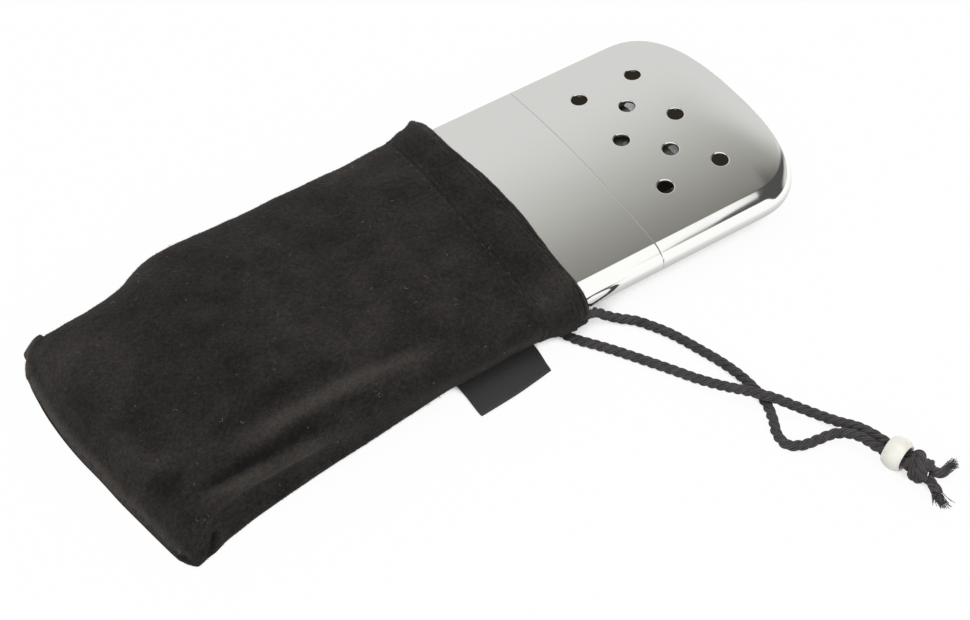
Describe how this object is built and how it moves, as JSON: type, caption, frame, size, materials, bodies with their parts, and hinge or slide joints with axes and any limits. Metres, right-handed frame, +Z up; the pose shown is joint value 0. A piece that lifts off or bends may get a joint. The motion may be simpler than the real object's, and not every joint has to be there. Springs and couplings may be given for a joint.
{
  "type": "catalytic hand warmer",
  "caption": "Pocket hand warmer with a vented pull-off lid, fuel tank and lift-off catalytic burner, half drawn out of a soft drawstring pouch with a bead and knotted cord.",
  "frame": {"origin": "on the surface that the pouch lies on, under the warmer's centre line and the middle of the pouch", "axes": "+X along the warmer towards the lid's rounded end, +Y across it, +Z up"},
  "size_m": [0.181, 0.1564, 0.0172],
  "materials": {
    "chrome_case": "bright chrome plate, faintly brushed",
    "pressed_steel": "plain pressed sheet",
    "wool_felt": "loose wadding and felt",
    "catalyst_wool": "grey mineral wool mat",
    "velvet": "short black-brown velvet pile",
    "thread": "dark sewing thread",
    "label_weave": "fine grey satin weave, bare",
    "cord": "dark three-strand twisted cord",
    "bead": "glossy off-white"
  },
  "bodies": {
    "pouch": {"pouch_upper_panel": "velvet", "pouch_lower_panel": "velvet", "hem_casing_upper": "velvet", "hem_casing_lower": "velvet", "hem_stitches": "thread", "end_seam_stitches": "thread", "side_seam_stitches": "thread", "woven_label": "label_weave", "label_stitches": "thread", "drawcord_in_hem": "cord", "drawcord_upper_leg": "cord", "drawcord_lower_leg": "cord", "stopper_knot": "cord", "cord_tail_right": "cord", "cord_tail_down": "cord"},
    "tank": {"tank_shell": "chrome_case", "tank_collar": "pressed_steel", "filler_neck": "pressed_steel", "neck_felt": "wool_felt", "fuel_wadding": "wool_felt"},
    "lid": {"lid_shell": "chrome_case"},
    "burner": {"burner_skirt": "pressed_steel", "burner_cage": "pressed_steel", "catalyst_mat": "catalyst_wool"},
    "bead": {"cord_bead": "bead"}
  },
  "joints": [
    {"name": "warmer_slide", "type": "slide", "parent": "pouch", "child": "tank", "axis": [1, 0, 0], "range_m": [-0.06, 0.035]},
    {"name": "lid_pull", "type": "slide", "parent": "tank", "child": "lid", "axis": [1, 0, 0], "range_m": [0, 0.045]},
    {"name": "burner_pull", "type": "slide", "parent": "tank", "child": "burner", "axis": [1, 0, 0], "range_m": [0, 0.018]},
    {"name": "bead_slide", "type": "slide", "parent": "pouch", "child": "bead", "axis": [0.2873, -0.9578, 0], "range_m": [-0.006, 0]}
  ],
  "couplings": [
    {"joint": "burner_pull", "follows": "lid_pull", "ratio": 0.4}
  ]
}
